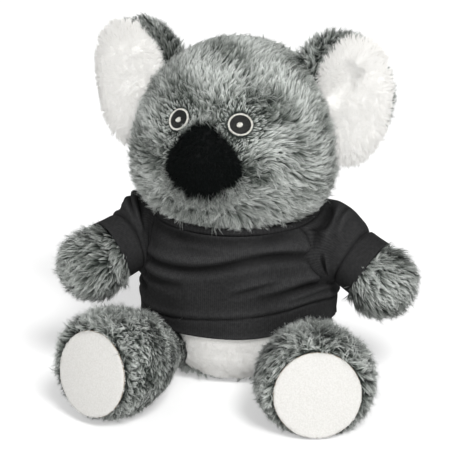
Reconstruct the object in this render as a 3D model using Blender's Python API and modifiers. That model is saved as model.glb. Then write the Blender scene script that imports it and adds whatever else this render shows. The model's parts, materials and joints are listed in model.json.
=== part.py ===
"""A seated plush koala in a knitted T-shirt.

Metres, +Z up. The koala faces -Y and sits on the plane Z = 0, with the origin in the middle of its seat.
Left and right are the koala's own, so its left side is at +X.
"""

import math

import bmesh
import bpy
from mathutils import Matrix, Vector

# Clearances
TOUCH_GAP = 0.0003
SEAM_GAP = 0.00045
EAR_GAP = 0.00095
EAR_SEAM_GAP = 0.0006
CUT_OVERRUN = 0.02

# Torso
TORSO_WIDTH = 0.080
TORSO_DEPTH = 0.070
TORSO_HEIGHT = 0.078

# Head, turned a little to its right on the neck
HEAD_RADIUS = 0.0410
HEAD_HEIGHT = 0.0785
HEAD_SINK = 0.01175
HEAD_FORWARD = 0.004
HEAD_TURN = math.radians(-11)
CHEEK_SWELL = 0.005
MUZZLE_SWELL = 0.009
NECK_ROOM = 0.0011

# Face
NOSE_WIDTH = 0.0305
NOSE_HEIGHT = 0.0297
NOSE_THICKNESS = 0.0012
NOSE_CROWN = 0.002
EYE_DIAMETER = 0.0104
EYE_RING_WIDTH = 0.0011
EYE_GLINT_DIAMETER = 0.003
STITCH_THICKNESS = 0.0005

# Ears
EAR_HEIGHT = 0.057
EAR_WIDTH = 0.048
EAR_LINING_HEIGHT = 0.055
EAR_LINING_WIDTH = 0.035
EAR_BACK_THICKNESS = 0.009
EAR_LINING_THICKNESS = 0.007
EAR_CUP = 0.005
EAR_REACH = 0.044
EAR_LIFT = 0.0185
EAR_SETBACK = 0.002
EAR_LINING_SHIFT = 0.006

# Arms and sleeves
SHOULDER_REACH = 0.0375
SHOULDER_SINK = 0.0190
SHOULDER_FORWARD = 0.006
ARM_LENGTH = 0.0435
ARM_RADIUS = 0.0118
PAW_RADIUS = 0.0136
SLEEVE_THICKNESS = 0.0016
SLEEVE_LENGTH = 0.0240
CUFF_WIDTH = 0.010
CUFF_STEP = 0.0007
SLEEVE_PUFF = 0.0050

# Legs
HIP_REACH = 0.0320
HIP_HEIGHT = 0.0142
HIP_FORWARD = 0.022
LEG_LENGTH = 0.0615
THIGH_RADIUS = 0.0130
FOOT_RADIUS = 0.0232
SOLE_DIAMETER = 0.036
SOLE_THICKNESS = 0.0014
SOLE_CROWN = 0.0012
SOLE_DROP = 0.003

# Belly panel
BELLY_WIDTH = 0.050
BELLY_BOTTOM = 0.003
BELLY_TOP = 0.038
PANEL_THICKNESS = 0.0012

# T-shirt
SHIRT_THICKNESS = 0.0014
SHIRT_EASE = 0.0020
SHIRT_BOTTOM = 0.025
SHIRT_TOP_DROP = 0.0070
SHOULDER_DROP = 0.008
HEM_WIDTH = 0.010
HEM_STEP = 0.0006
SIDE_SEAM_GAP = 0.0006
FOLD_DEPTH = 0.0012
NECK_BAND_RADIUS = 0.0352
NECK_BAND_THICKNESS = 0.0044
NECK_BAND_WIDTH = 0.006

# Angles of the limbs at rest
ARM_FORWARD = {"left": math.radians(20), "right": math.radians(42)}
ARM_DROP = {"left": math.radians(28), "right": math.radians(15)}
LEG_SPLAY = {"left": math.radians(9), "right": math.radians(12)}
LEG_RISE = {"left": math.radians(6.5), "right": math.radians(10)}
FOOT_TURN = {"left": math.radians(2), "right": math.radians(21)}
ARM_SOCKET_FLARE = math.radians(14)
LEG_SOCKET_FLARE = math.radians(15)
EAR_LEAN = math.radians(7)
EAR_FACING = math.radians(8)
EYE_DIRECTION = (math.radians(20.5), math.radians(22.5))
NOSE_RISE = math.radians(2.4)
MUZZLE_SPREAD = math.radians(25)
CHEEK_DIRECTION = (math.radians(58), math.radians(-16))
CHEEK_SPREAD = math.radians(27)

# Outlines, as shares of the sizes above
TORSO_SHARES = (
    (1.000, 0.00), (0.992, 0.34), (0.975, 0.60), (0.930, 0.76), (0.875, 0.86), (0.790, 0.915),
    (0.640, 0.96), (0.460, 1.00), (0.290, 1.00), (0.150, 0.955), (0.045, 0.81), (0.000, 0.54),
    (-0.006, 0.00),
)
NECK_ROUND_SHARE = 0.98
LEG_SHARES = ((0.20, 0.10), (0.40, 0.42), (0.60, 0.80), (0.77, 1.00), (0.90, 0.93), (0.965, 0.72))
LEG_END_SHARE = 0.86
PAW_MIDDLE_SHARE = 0.70
SLEEVE_MOUTH_SHARE = 0.55
PUFF_LEAN = 2.2
FOLD_WAVES = 2
FOLD_SLANT = 1.2
FOLD_START_SHARE = 0.22
FOLD_SPAN_SHARE = 0.70
HEAD_FULLNESS_SHARE = 0.8
ANKLE_SHARE = 0.45
LEG_HEIGHT_SHARE = 0.90
NOSE_MIDDLE_SHARE = 0.92
NOSE_TAPER_SHARE = 0.43

# Facets
TORSO_CAGE = 16
HEAD_CAGE = (20, 12)
EAR_CAGE = (12, 8)
TURNED_STEPS = 20
ARC_STEPS = 6
SEAT_STEPS = 16
SEAT_TURNS = 36
NECK_BAND_STEPS = 8
SHIRT_ROWS = 9
SLEEVE_ROWS = 5
SHIRT_COLUMNS = 18

SIDES = {"left": 1, "right": -1}

HEAD_CENTRE = Vector((0, -HEAD_FORWARD, TORSO_HEIGHT - HEAD_SINK + HEAD_HEIGHT / 2))
SHIRT_TOP = TORSO_HEIGHT - SHIRT_TOP_DROP


def clear_scene():
    for item in list(bpy.data.objects):
        bpy.data.objects.remove(item, do_unlink=True)
    for group in list(bpy.data.collections):
        bpy.data.collections.remove(group)


def new_collection(name):
    group = bpy.data.collections.new(name)
    bpy.context.scene.collection.children.link(group)
    return group


def new_material(name, colour, roughness):
    made = bpy.data.materials.new(name)
    made.use_nodes = True
    shader = made.node_tree.nodes["Principled BSDF"]
    shader.inputs["Base Color"].default_value = (*colour, 1)
    shader.inputs["Roughness"].default_value = roughness
    shader.inputs["Metallic"].default_value = 0
    made.diffuse_color = (*colour, 1)
    return made


def add_object(name, mesh, group, material=None):
    made = bpy.data.objects.new(name, mesh)
    group.objects.link(made)
    if material:
        mesh.materials.append(material)
    mesh.shade_smooth()
    return made


def mesh_from(bm, name):
    bmesh.ops.recalc_face_normals(bm, faces=bm.faces)
    mesh = bpy.data.meshes.new(name)
    bm.to_mesh(mesh)
    bm.free()
    return mesh


def subdivide(item, levels=1):
    modifier = item.modifiers.new("Subdivision", "SUBSURF")
    modifier.levels = levels
    modifier.render_levels = levels


def solidify(item, thickness):
    modifier = item.modifiers.new("Thickness", "SOLIDIFY")
    modifier.thickness = thickness
    modifier.offset = 1
    modifier.use_even_offset = True


def cut(item, cutter):
    modifier = item.modifiers.new("Cut " + cutter.name, "BOOLEAN")
    modifier.operation = "DIFFERENCE"
    modifier.object = cutter
    modifier.use_self = True


def as_cutter(item):
    item.hide_render = True
    item.display_type = "WIRE"
    return item


def ring_growth(points):
    """A subdivided ring settles inside its cage, so the cage is this much larger."""
    return 3 / (2 + math.cos(2 * math.pi / points))


def cage_growth(cage):
    """The same for a ball's cage of (segments, rings)."""
    segments, rings = cage
    return ring_growth(segments) * ring_growth(2 * rings)


def between(shares, place):
    """The value at a place along a table of (place, value) shares, eased between its rows."""
    for (start, low), (end, high) in zip(shares, shares[1:]):
        if place <= end:
            part = max(0, (place - start) / (end - start))
            return low + (high - low) * part
    return shares[-1][1]


def facing(azimuth, elevation):
    """A unit direction: azimuth 0 looks along -Y, and a positive one turns towards +X."""
    level = math.cos(elevation)
    return Vector((math.sin(azimuth) * level, -math.cos(azimuth) * level, math.sin(elevation)))


# Forms: each gives the point of a soft surface, so that panels and stitches lie on the same surface.


def torso_radius(height):
    """Half of the torso's width at a height."""
    rows = sorted((TORSO_HEIGHT * up, TORSO_WIDTH / 2 * out) for up, out in TORSO_SHARES)
    return between(rows, height)


def torso_roundness(height):
    """The torso's depth over its width: shallow at the seat and nearly round at the neck."""
    seat = TORSO_DEPTH / TORSO_WIDTH
    up = max(0, height / TORSO_HEIGHT)
    return seat + (NECK_ROUND_SHARE - seat) * up * up


def torso_point(angle, height, offset=0):
    """A point at an angle about Z, measured from -Y towards +X, and offset outwards."""
    across = torso_radius(height) + offset
    along = torso_radius(height) * torso_roundness(height) + offset
    lean = HEAD_FORWARD * height / TORSO_HEIGHT
    return Vector((across * math.sin(angle), -along * math.cos(angle) - lean, height))


def swell(direction, middle, spread):
    """How much of a swelling about its middle direction is left at another direction."""
    return math.exp(-((direction.angle(middle) / spread) ** 2))


def head_point(direction, offset=0):
    """A point of the head form, from its centre, in the head's own directions."""
    level = math.hypot(direction.x, direction.y)
    full = HEAD_FULLNESS_SHARE if direction.z < 0 else 1
    wide = HEAD_RADIUS * level ** (full - 1) if level > 0 else 0
    up = math.copysign(abs(direction.z) ** full, direction.z) * HEAD_HEIGHT / 2
    point = Vector((direction.x * wide, direction.y * wide, up))
    azimuth, elevation = CHEEK_DIRECTION
    for sign in SIDES.values():
        cheek = facing(sign * azimuth, elevation)
        point += cheek * CHEEK_SWELL * swell(direction, cheek, CHEEK_SPREAD)
    muzzle = facing(0, 0)
    point += muzzle * MUZZLE_SWELL * swell(direction, muzzle, MUZZLE_SPREAD)
    return point + direction * offset


def head_matrix():
    return Matrix.Translation(HEAD_CENTRE) @ Matrix.Rotation(HEAD_TURN, 4, "Z")


# Makers of the solids


def ball_form(name, cage, place, group, material):
    """A closed soft form: a ball's cage, with each point moved by place, then subdivided."""
    segments, rings = cage
    bm = bmesh.new()
    bmesh.ops.create_uvsphere(bm, u_segments=segments, v_segments=rings, radius=1)
    for point in bm.verts:
        point.co = place(point.co.normalized())
    made = add_object(name, mesh_from(bm, name), group, material)
    subdivide(made)
    return made


def turned(name, outline, group, material=None):
    """A turned solid about local Z from (radius, height) points, top to bottom down the outer side."""
    mesh = bpy.data.meshes.new(name)
    points = [(radius, 0, height) for radius, height in outline]
    edges = [(index, index + 1) for index in range(len(points) - 1)]
    if outline[0][0] > 0:
        edges.append((len(points) - 1, 0))
    mesh.from_pydata(points, edges, [])
    made = add_object(name, mesh, group, material)
    modifier = made.modifiers.new("Turned", "SCREW")
    modifier.steps = TURNED_STEPS
    modifier.render_steps = TURNED_STEPS
    modifier.use_smooth_shade = True
    modifier.use_merge_vertices = True
    modifier.merge_threshold = TOUCH_GAP / 10
    modifier.use_normal_calculate = False
    return made


def arc(centre, radius, start, end, steps=ARC_STEPS):
    """(radius, height) points on an arc about (0, centre), by the angle from +Z."""
    angles = [start + (end - start) * step / steps for step in range(steps + 1)]
    return [(radius * math.sin(angle), centre + radius * math.cos(angle)) for angle in angles]


def patch(name, place, thickness, steps, group, material):
    """A panel: a round grid whose points (across, up), within a unit circle, are placed on a surface."""
    bm = bmesh.new()
    bmesh.ops.create_grid(bm, x_segments=steps, y_segments=steps, size=1)
    for point in bm.verts:
        across, up = point.co.x, point.co.y
        point.co = place(across * math.sqrt(1 - up * up / 2), up * math.sqrt(1 - across * across / 2))
    mesh = bpy.data.meshes.new(name)
    bm.to_mesh(mesh)
    bm.free()
    made = add_object(name, mesh, group, material)
    solidify(made, thickness)
    return made


def ring_patch(name, place, inner, thickness, steps, group, material):
    """A flat ring between a share of the unit circle and the whole circle, placed on a surface."""
    bm = bmesh.new()
    turns = [2 * math.pi * step / steps for step in range(steps)]
    rows = []
    for reach in (inner, 1):
        rows.append([bm.verts.new(place(reach * math.cos(turn), reach * math.sin(turn))) for turn in turns])
    for step in range(steps):
        after = (step + 1) % steps
        bm.faces.new((rows[0][step], rows[1][step], rows[1][after], rows[0][after]))
    mesh = bpy.data.meshes.new(name)
    bm.to_mesh(mesh)
    bm.free()
    made = add_object(name, mesh, group, material)
    solidify(made, thickness)
    return made


def floor_cutter(group):
    """Everything below the plane that the koala sits on."""
    bm = bmesh.new()
    bmesh.ops.create_cube(bm, size=1)
    wide = 4 * TORSO_WIDTH
    for point in bm.verts:
        point.co = Vector((point.co.x * wide, point.co.y * wide, (point.co.z - 1 / 2) * CUT_OVERRUN))
    return as_cutter(add_object("floor_cutter", mesh_from(bm, "floor_cutter"), group))


def point_along(item, origin, direction):
    """Places an object's origin, with its local Z along a direction."""
    item.location = origin
    item.rotation_mode = "QUATERNION"
    item.rotation_quaternion = direction.to_track_quat("Z", "Y")


# Joints and limb directions


def shoulder(side):
    return Vector((SIDES[side] * SHOULDER_REACH, -SHOULDER_FORWARD, TORSO_HEIGHT - SHOULDER_SINK))


def arm_direction(side):
    forward = SIDES[side] * (math.pi / 2 - ARM_FORWARD[side])
    return facing(forward, -ARM_DROP[side])


def hip(side):
    return Vector((SIDES[side] * HIP_REACH, -HIP_FORWARD, HIP_HEIGHT))


def leg_direction(side):
    return facing(SIDES[side] * LEG_SPLAY[side], LEG_RISE[side])


# Cutters for the seats of the head and limbs


def head_seat_cutter(group):
    """The head's form swept round its turning axis, a little larger."""
    outline = []
    for step in range(SEAT_STEPS + 1):
        elevation = math.pi / 2 - math.pi * step / SEAT_STEPS
        turns = [2 * math.pi * turn / SEAT_TURNS for turn in range(SEAT_TURNS)]
        far = max((head_point(facing(turn, elevation), NECK_ROOM) for turn in turns), key=lambda p: p.length)
        outline.append((math.hypot(far.x, far.y) / math.cos(math.pi / TURNED_STEPS), far.z))
    outline[0] = (0, outline[0][1])
    outline[-1] = (0, outline[-1][1])
    made = turned("head_seat_cutter", outline, group)
    made.location = HEAD_CENTRE
    return as_cutter(made)


def limb_seat_cutter(name, radius, reach, flare, origin, direction, group):
    """A ball seat about a joint that flares towards the limb's end, to leave room for its swing."""
    outline = [(0, reach), (radius + reach * math.tan(flare), reach)]
    outline += arc(0, radius, math.pi / 2, math.pi)
    outline[-1] = (0, -radius)
    made = turned(name, outline, group)
    point_along(made, origin, direction)
    return as_cutter(made)


def limb_seat_cutters(group):
    cutters = {}
    for side in SIDES:
        radius = ARM_RADIUS + TOUCH_GAP + SLEEVE_THICKNESS + SEAM_GAP
        cutters["arm", side] = limb_seat_cutter(
            "arm_seat_cutter_" + side, radius, ARM_LENGTH, ARM_SOCKET_FLARE,
            shoulder(side), arm_direction(side), group,
        )
        cutters["leg", side] = limb_seat_cutter(
            "leg_seat_cutter_" + side, THIGH_RADIUS + SEAM_GAP, LEG_LENGTH, LEG_SOCKET_FLARE,
            hip(side), leg_direction(side), group,
        )
    return cutters


def cut_seats(item, cutters, limbs, head_seat=None):
    for limb, side in cutters:
        if limb in limbs:
            cut(item, cutters[limb, side])
    if head_seat:
        cut(item, head_seat)


# Sub-parts


def make_torso(group, material, cutters, head_seat, floor):
    segments, rings = TORSO_CAGE, len(TORSO_SHARES) - 1
    growth = ring_growth(segments)

    def place(direction):
        row = round(direction.angle(Vector((0, 0, 1))) / math.pi * rings)
        height = TORSO_SHARES[row][0] * TORSO_HEIGHT
        centre = Vector((0, -HEAD_FORWARD * height / TORSO_HEIGHT, height))
        if row in (0, rings):
            return centre
        rim = torso_point(math.atan2(direction.x, -direction.y), height)
        return centre + (rim - centre) * growth

    made = ball_form("torso_plush", (segments, rings), place, group, material)
    cut_seats(made, cutters, ("arm", "leg"), head_seat)
    cut(made, floor)
    return made


def make_belly_panel(group, material, cutters):
    middle = (BELLY_TOP + BELLY_BOTTOM) / 2
    half = (BELLY_TOP - BELLY_BOTTOM) / 2

    def place(across, up):
        height = middle + half * up
        angle = across * BELLY_WIDTH / TORSO_DEPTH
        return torso_point(angle, height, TOUCH_GAP)

    made = patch("belly_panel", place, PANEL_THICKNESS, 10, group, material)
    cut_seats(made, cutters, ("leg",))
    return made


def shirt_fold(angle, height):
    """Main folds of the knit across the chest, as a height over the plain surface."""
    span = (height - SHIRT_BOTTOM) / (SHIRT_TOP - SHIRT_BOTTOM)
    front = max(0, math.cos(angle)) ** 2
    wave = math.sin(2 * math.pi * FOLD_WAVES * span + FOLD_SLANT * math.sin(angle))
    inside = math.sin(math.pi * min(1, max(0, (span - FOLD_START_SHARE) / FOLD_SPAN_SHARE)))
    return FOLD_DEPTH * (1 + wave) / 2 * front * inside


def shirt_heights(angle):
    """The heights of the shirt's rows at an angle: the turned-up hem, then up to the neck or the armhole."""
    hem_top = SHIRT_BOTTOM + HEM_WIDTH
    top = SHIRT_TOP - SHOULDER_DROP * math.sin(angle) ** 4
    heights = [SHIRT_BOTTOM, SHIRT_BOTTOM + HEM_WIDTH / 2, hem_top - HEM_STEP, hem_top]
    heights += [hem_top + (top - hem_top) * (row + 1) / SHIRT_ROWS for row in range(SHIRT_ROWS)]
    return heights


def make_shirt_panel(name, start, end, group, material, cutters, head_seat):
    """One panel of the shirt between two side seams, with the turned-up hem along its lower edge."""
    bm = bmesh.new()
    grid = []
    for column in range(SHIRT_COLUMNS + 1):
        angle = start + (end - start) * column / SHIRT_COLUMNS
        line = []
        for row, height in enumerate(shirt_heights(angle)):
            offset = SHIRT_EASE + shirt_fold(angle, height) + (HEM_STEP if row < 3 else 0)
            line.append(bm.verts.new(torso_point(angle, height, offset)))
        grid.append(line)
    for left, right in zip(grid, grid[1:]):
        for row in range(len(left) - 1):
            bm.faces.new((left[row], right[row], right[row + 1], left[row + 1]))
    mesh = bpy.data.meshes.new(name)
    bm.to_mesh(mesh)
    bm.free()
    made = add_object(name, mesh, group, material)
    solidify(made, SHIRT_THICKNESS)
    cut_seats(made, cutters, ("arm", "leg"), head_seat)
    return made


def make_shirt(group, material, cutters, head_seat):
    seam = SIDE_SEAM_GAP / TORSO_WIDTH
    side = math.pi / 2
    make_shirt_panel("shirt_front", -side + seam, side - seam, group, material, cutters, head_seat)
    make_shirt_panel("shirt_back", side + seam, 3 * side - seam, group, material, cutters, head_seat)


def make_neck_band(group, material, cutters, head_seat):
    across = NECK_BAND_THICKNESS / 2
    up = NECK_BAND_WIDTH / 2
    angles = [2 * math.pi * step / NECK_BAND_STEPS for step in range(NECK_BAND_STEPS)]
    outline = [(NECK_BAND_RADIUS + across * math.sin(angle), up * math.cos(angle)) for angle in angles]
    made = turned("neck_band", outline, group, material)
    made.location = (0, -HEAD_FORWARD, SHIRT_TOP + SHIRT_THICKNESS + up)
    cut_seats(made, cutters, ("arm",), head_seat)
    return made


def make_arm(side, group, material):
    mouth = math.pi - math.asin(SLEEVE_MOUTH_SHARE)
    outer = ARM_RADIUS + TOUCH_GAP + SLEEVE_THICKNESS
    wrist = SLEEVE_LENGTH + TOUCH_GAP
    middle = ARM_LENGTH * PAW_MIDDLE_SHARE
    tip = ARM_LENGTH - middle
    outline = []
    for step in range(ARC_STEPS + 1):
        angle = math.pi / 2 * step / ARC_STEPS
        outline.append((PAW_RADIUS * math.sin(angle), middle + tip * math.cos(angle)))
    outline[0] = (0, ARM_LENGTH)
    for step in (1, 2, 3):
        part = step / 3
        eased = (1 - math.cos(math.pi * part)) / 2
        radius = PAW_RADIUS + (ARM_RADIUS - PAW_RADIUS) * eased
        outline.append((radius, middle + (wrist - middle) * part))
    outline += arc(0, ARM_RADIUS, math.pi / 2, mouth)
    outline += arc(0, outer, mouth + TOUCH_GAP / outer, math.pi)
    outline[-1] = (0, -outer)
    made = turned("arm_" + side, outline, group, material)
    point_along(made, shoulder(side), arm_direction(side))
    return made


def make_sleeve(side, group, material):
    mouth = math.pi - math.asin(SLEEVE_MOUTH_SHARE) - 2 * TOUCH_GAP / ARM_RADIUS
    inner = ARM_RADIUS + TOUCH_GAP
    outer = inner + SLEEVE_THICKNESS
    seam = SLEEVE_LENGTH - CUFF_WIDTH
    outline = [(inner, SLEEVE_LENGTH), (outer + CUFF_STEP, SLEEVE_LENGTH), (outer + CUFF_STEP, seam)]
    rows = [(seam - CUFF_STEP) * row / SLEEVE_ROWS for row in range(1, SLEEVE_ROWS + 1)]
    outline += [(outer, row) for row in reversed(rows)]
    outline += arc(0, outer, math.pi / 2, mouth)
    outline += arc(0, inner, mouth, math.pi / 2)
    outline += [(inner, row) for row in rows]
    made = turned("sleeve_" + side, outline, group, material)
    for point in settled(made).vertices:
        around = Vector((point.co.x, point.co.y))
        along = min(1, max(0, point.co.z / seam))
        upper = max(0, around.normalized().y) ** 2
        around *= 1 + SLEEVE_PUFF / outer * upper * math.sin(math.pi * along ** PUFF_LEAN) ** 2
        point.co.xy = around
    point_along(made, shoulder(side), arm_direction(side))
    return made


def foot_turned(point, side):
    """Turns what lies past the ankle outwards, more and more towards the sole."""
    ankle = LEG_LENGTH * ANKLE_SHARE
    past = max(0, point.z - ankle)
    turn = SIDES[side] * FOOT_TURN[side]
    span = LEG_LENGTH - ankle
    angle = turn * min(1, past / span)
    if past == 0 or turn == 0:
        return point
    radius = span / turn
    centre = Vector((radius * (1 - math.cos(angle)), 0, ankle + radius * math.sin(angle)))
    over = past - span if past > span else 0
    return centre + Matrix.Rotation(angle, 3, "Y") @ Vector((point.x, point.y, over))


def settled(item):
    """Replaces an object's modifiers by the mesh that they make."""
    mesh = bpy.data.meshes.new_from_object(item.evaluated_get(bpy.context.evaluated_depsgraph_get()))
    item.modifiers.clear()
    item.data = mesh
    return mesh


def shape_leg_piece(item, side):
    """Lowers a leg's height, turns its foot and places it at the hip."""
    for point in settled(item).vertices:
        bent = foot_turned(point.co, side)
        point.co = Vector((bent.x, bent.y * LEG_HEIGHT_SHARE, bent.z))
    point_along(item, hip(side), leg_direction(side))


def make_leg(side, group, material, floor):
    grow = FOOT_RADIUS - THIGH_RADIUS
    outline = [(0, LEG_LENGTH), (FOOT_RADIUS * LEG_END_SHARE, LEG_LENGTH)]
    for along, out in reversed(LEG_SHARES):
        outline.append((THIGH_RADIUS + grow * out, LEG_LENGTH * along))
    outline += arc(0, THIGH_RADIUS, math.pi / 2, math.pi)
    outline[-1] = (0, -THIGH_RADIUS)
    made = turned("leg_" + side, outline, group, material)
    shape_leg_piece(made, side)
    cut(made, floor)
    return made


def make_sole(side, group, material):
    radius = SOLE_DIAMETER / 2

    def place(across, up):
        crown = SOLE_CROWN * (1 - across * across - up * up)
        tall = radius / LEG_HEIGHT_SHARE
        return Vector((across * radius, up * tall - SOLE_DROP, LEG_LENGTH + TOUCH_GAP + max(0, crown)))

    made = patch("sole_" + side, place, SOLE_THICKNESS, 8, group, material)
    shape_leg_piece(made, side)
    return made


def make_head(group, material):
    growth = cage_growth(HEAD_CAGE)
    made = ball_form("head_plush", HEAD_CAGE, lambda v: head_point(v) * growth, group, material)
    made.matrix_world = head_matrix()
    return made


def head_clearance_cutter(group):
    """The head's form, a little larger, which trims the roots of the ears."""
    growth = cage_growth(HEAD_CAGE)
    made = ball_form("head_clearance_cutter", HEAD_CAGE, lambda v: head_point(v, EAR_GAP) * growth, group, None)
    made.matrix_world = head_matrix()
    return as_cutter(made)


def make_nose(group, material):
    def place(across, up):
        narrow = NOSE_MIDDLE_SHARE - NOSE_TAPER_SHARE * up
        azimuth = across * narrow * NOSE_WIDTH / 2 / HEAD_RADIUS
        elevation = NOSE_RISE + up * NOSE_HEIGHT / HEAD_HEIGHT
        crown = NOSE_CROWN * max(0, 1 - across * across - up * up)
        return head_point(facing(azimuth, elevation), TOUCH_GAP * 2 + crown)

    made = patch("nose_pad", place, NOSE_THICKNESS, 8, group, material)
    made.matrix_world = head_matrix()
    return made


def make_eye(side, group, white, black):
    """Three embroidered fills: a white ring, a black iris inside it and a white glint over that."""
    azimuth, elevation = EYE_DIRECTION
    centre = (SIDES[side] * azimuth, elevation)
    iris = EYE_DIAMETER - 2 * (EYE_RING_WIDTH + TOUCH_GAP)

    def placer(diameter, lift):
        half = diameter / 2 / HEAD_RADIUS

        def place(across, up):
            turned_by = across * half / math.cos(elevation)
            return head_point(facing(centre[0] + turned_by, centre[1] + up * half), lift)

        return place

    lift = 2 * TOUCH_GAP
    inner = 1 - 2 * EYE_RING_WIDTH / EYE_DIAMETER
    made = [
        ring_patch("eye_ring_" + side, placer(EYE_DIAMETER, lift), inner, STITCH_THICKNESS, 20, group, white),
        patch("eye_iris_" + side, placer(iris, lift), STITCH_THICKNESS, 5, group, black),
    ]
    lift += STITCH_THICKNESS + TOUCH_GAP
    glint = placer(EYE_GLINT_DIAMETER, lift)
    made.append(patch("eye_glint_" + side, glint, STITCH_THICKNESS, 3, group, white))
    for item in made:
        item.matrix_world = head_matrix()


def ear_matrix(side):
    """The ear's own frame: X outwards, -Y the way the lining faces, Z up the ear."""
    sign = SIDES[side]
    centre = Vector((sign * EAR_REACH, EAR_SETBACK, EAR_LIFT))
    turn = Matrix.Rotation(sign * EAR_FACING, 4, "Z") @ Matrix.Rotation(sign * EAR_LEAN, 4, "Y")
    mirror = Matrix.Diagonal((sign, 1, 1, 1))
    return head_matrix() @ Matrix.Translation(centre) @ turn @ mirror


def ear_half(name, side, width, height, depth, shift, forward, group, material, trim):
    """One half of a cupped ear: a dome on the dished sheet where its two plush panels meet."""

    def place(direction):
        across = direction.x * width / 2 + shift
        up = direction.z * height / 2
        dished = EAR_CUP * (1 - (2 * across / EAR_WIDTH) ** 2 - (2 * up / EAR_HEIGHT) ** 2)
        dome = max(0, forward * -direction.y)
        return Vector((across, dished - forward * (EAR_SEAM_GAP / 2 + dome * depth), up))

    made = ball_form(name, EAR_CAGE, place, group, material)
    made.data.transform(ear_matrix(side))
    if SIDES[side] < 0:
        made.data.flip_normals()
    cut(made, trim)
    return made


def make_ear(side, group, grey, white, trim):
    ear_half("ear_back_" + side, side, EAR_WIDTH, EAR_HEIGHT, EAR_BACK_THICKNESS, 0, -1, group, grey, trim)
    ear_half(
        "ear_lining_" + side, side, EAR_LINING_WIDTH, EAR_LINING_HEIGHT, EAR_LINING_THICKNESS,
        EAR_LINING_SHIFT, 1, group, white, trim,
    )


def main():
    clear_scene()
    koala = new_collection("plush_koala")
    cutters = new_collection("cutters")
    grey = new_material("grey_plush", (0.30, 0.32, 0.31), 0.95)
    white = new_material("white_plush", (0.86, 0.85, 0.82), 0.95)
    black = new_material("black_plush", (0.012, 0.014, 0.014), 0.9)
    knit = new_material("charcoal_knit", (0.028, 0.028, 0.030), 0.85)
    white_thread = new_material("white_thread", (0.82, 0.81, 0.76), 0.6)
    black_thread = new_material("black_thread", (0.01, 0.01, 0.011), 0.5)

    floor = floor_cutter(cutters)
    head_seat = head_seat_cutter(cutters)
    seats = limb_seat_cutters(cutters)
    ear_trim = head_clearance_cutter(cutters)

    make_torso(koala, grey, seats, head_seat, floor)
    make_belly_panel(koala, white, seats)
    make_shirt(koala, knit, seats, head_seat)
    make_neck_band(koala, knit, seats, head_seat)
    make_head(koala, grey)
    make_nose(koala, black)
    for side in SIDES:
        make_eye(side, koala, white_thread, black_thread)
        make_ear(side, koala, grey, white, ear_trim)
        make_arm(side, koala, grey)
        make_sleeve(side, koala, knit)
        make_leg(side, koala, grey, floor)
        make_sole(side, koala, white)


main()
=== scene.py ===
"""The looks of a seated plush koala in a knitted T-shirt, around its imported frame.

Metres, +Z up. The koala faces -Y and its own left is at +X. The fur is real strands, so it shows from every side.
"""

import json
import math

import bpy
import numpy as np
from mathutils import Matrix, Vector
from mathutils.bvhtree import BVHTree
from mathutils.kdtree import KDTree


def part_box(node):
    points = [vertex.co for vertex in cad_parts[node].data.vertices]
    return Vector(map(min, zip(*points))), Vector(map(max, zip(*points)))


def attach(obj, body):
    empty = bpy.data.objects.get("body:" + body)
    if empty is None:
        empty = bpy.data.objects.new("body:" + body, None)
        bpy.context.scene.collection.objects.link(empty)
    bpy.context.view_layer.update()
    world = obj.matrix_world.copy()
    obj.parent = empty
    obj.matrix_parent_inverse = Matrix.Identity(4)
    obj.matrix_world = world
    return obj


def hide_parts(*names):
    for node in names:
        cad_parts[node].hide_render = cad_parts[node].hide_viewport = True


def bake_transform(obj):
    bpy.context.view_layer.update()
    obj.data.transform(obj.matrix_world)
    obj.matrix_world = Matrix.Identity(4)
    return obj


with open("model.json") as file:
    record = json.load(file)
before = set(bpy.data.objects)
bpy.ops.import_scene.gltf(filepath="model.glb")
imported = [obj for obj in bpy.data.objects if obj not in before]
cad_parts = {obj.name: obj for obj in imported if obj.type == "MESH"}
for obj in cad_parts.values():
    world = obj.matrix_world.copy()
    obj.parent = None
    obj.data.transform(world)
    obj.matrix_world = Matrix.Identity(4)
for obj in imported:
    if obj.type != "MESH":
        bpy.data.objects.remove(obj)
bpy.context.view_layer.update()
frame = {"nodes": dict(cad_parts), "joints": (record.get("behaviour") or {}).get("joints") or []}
NODES = frame["nodes"]
JOINTS = {joint["name"]: joint for joint in frame["joints"]}
SIDES = {"left": 1, "right": -1}

HEAD_CENTRE = np.array(Vector(JOINTS["head_turn"]["pos_m"]))
HEAD_TURN = math.radians(-11)
ARM_FORWARD = {"left": 20, "right": 42}
ARM_DROP = {"left": 28, "right": 15}
LEG_TURN = {"left": 11, "right": 33}
EAR_FACING = {"left": -3, "right": -19}
EYE_RADIUS = 0.0053
UP = np.array([0, 0, 1.0])
FULL_TURN = 2 * math.pi


# Small helpers


def lengths(v, keep=False):
    return np.linalg.norm(v, axis=-1, keepdims=keep)


def unit(v):
    return v / np.maximum(lengths(v, True), 1e-12)


def facing(azimuth, elevation):
    """A unit direction in degrees: azimuth 0 looks along -Y, and a positive one turns towards +X."""
    a, e = math.radians(azimuth), math.radians(elevation)
    return np.array([math.sin(a) * math.cos(e), -math.cos(a) * math.cos(e), math.sin(e)])


def head_direction(azimuth, elevation):
    """The same in the head's own directions."""
    return np.array(Matrix.Rotation(HEAD_TURN, 3, "Z") @ Vector(facing(azimuth, elevation)))


def bell(distance, width, middle=0.0):
    """1 at a distance of middle, fading smoothly to both sides of it."""
    return np.exp(-(((distance - middle) / width) ** 2))


def wander(points, size, seed):
    """A smooth random vector field, about 1 long, that changes over a distance of about size."""
    rng = np.random.default_rng(seed)
    total = np.zeros_like(points)
    for _ in range(7):
        wave = unit(rng.normal(size=3)) * 2 * math.pi / size * rng.uniform(0.6, 1.3)
        total += np.sin(points @ wave + rng.uniform(0, 7))[:, None] * unit(rng.normal(size=3))
    return total / 1.9


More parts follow.
